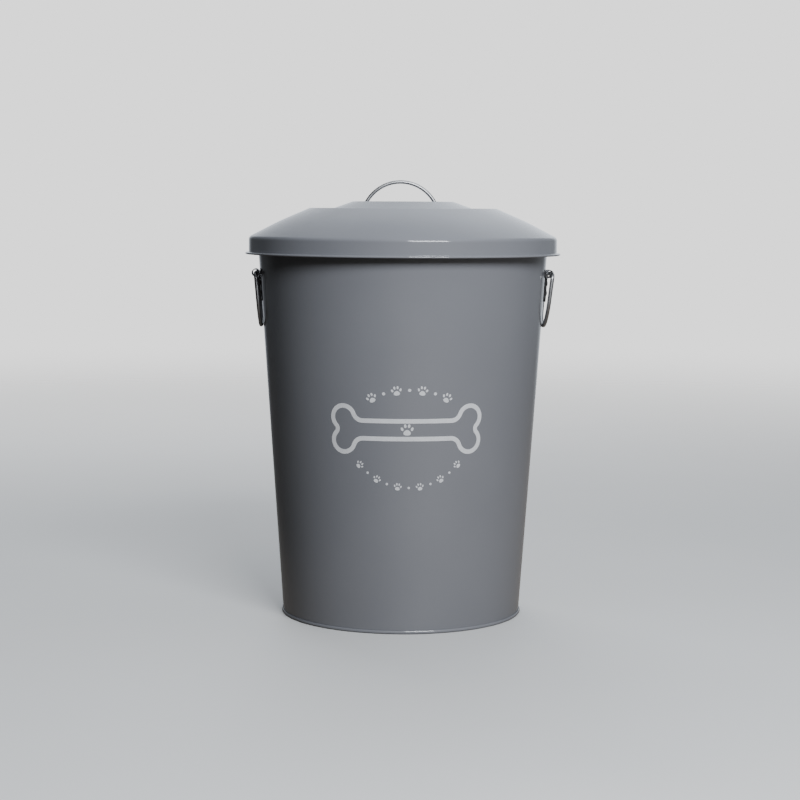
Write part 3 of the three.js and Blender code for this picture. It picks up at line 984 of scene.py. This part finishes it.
def paw(centre, size, turn=0.0):
    """A pad and four toes, all inside a circle of the given size."""
    place, width, height = PAW_PAD
    parts = [egg(Vector(place) * size, width * size, height * size, taper=PAW_TAPER)]
    width, height = PAW_TOE
    for x, y, lean in PAW_TOES:
        parts.append(egg(Vector((x, y)) * size, width * size, height * size, turn=lean))
    rotation = Matrix.Rotation(turn, 2)
    return [[centre + rotation @ spot for spot in part] for part in parts]


def arc_row(centre, radius, half_angle, count, size, upwards):
    outlines = []
    for i in range(count):
        lean = half_angle * (2 * i / (count - 1) - 1)
        sign = 1 if upwards else -1
        spot = centre + radius * Vector((math.sin(lean), sign * math.cos(lean)))
        if i % 2 == 0:
            outlines += paw(spot, size, -lean * sign)
        else:
            outlines.append(egg(spot, DOT * size, DOT * size))
    return outlines


def motif():
    """A bone in outline with a paw in it, between two arcs of small paws and dots."""
    outlines = [bone(0), bone(-BONE_STROKE), *paw(Vector((0, 0)), BONE_PAW)]
    for row in ROWS:
        outlines += arc_row(*row)
    return outlines


def flat_mesh(outlines):
    """Fills the outlines, with the inner ones as holes, as a thin closed slab."""
    curve = bpy.data.curves.new("print", "CURVE")
    curve.dimensions = "2D"
    curve.fill_mode = "BOTH"
    curve.extrude = INK / 2
    for outline in outlines:
        spline = curve.splines.new("POLY")
        spline.points.add(len(outline) - 1)
        for knot, spot in zip(spline.points, outline):
            knot.co = (spot.x, spot.y, 0, 1)
        spline.use_cyclic_u = True
    drawn = bpy.data.objects.new("print", curve)
    mesh = bpy.data.meshes.new_from_object(drawn)
    bpy.data.objects.remove(drawn)
    return mesh


def make_print(ink):
    bm = bmesh.new()
    bm.from_mesh(flat_mesh(motif()))
    bmesh.ops.remove_doubles(bm, verts=bm.verts, dist=WELD)
    for i in range(int(2 * PRINT_REACH / WRAP_STEP)):
        everything = bm.verts[:] + bm.edges[:] + bm.faces[:]
        at = (-PRINT_REACH + i * WRAP_STEP, 0, 0)
        bmesh.ops.bisect_plane(bm, geom=everything, dist=TINY, plane_co=at, plane_no=(1, 0, 0))
    middle = wall_radius(PRINT_CENTRE)
    for vert in bm.verts:
        across, up, out = vert.co
        height = PRINT_CENTRE + up * math.cos(TAPER)
        radius = wall_radius(height) + PRINT_LIFT + INK / 2 + out
        angle = across / middle
        vert.co = (radius * math.sin(angle), -radius * math.cos(angle), height)
    piece("front_print", bm, ink, "print_ink", "bin")


# ---------- the object ----------


def make_bin():
    coat, wire_steel, strip, steel = enamel(), drawn_wire(), shade_darkened_strip(), rivet_steel()
    make_wall(coat)
    make_rim_wire(steel)
    make_base(coat)
    make_print(print_ink())
    make_lid(coat)
    make_bail(wire_steel)
    make_ears(strip)
    make_ear_rivets(steel)
    for side in ("left", "right"):
        make_ring(side, wire_steel)
        make_clip(side, strip)
        make_clip_rivets(side, steel)


make_studio()
make_bin()
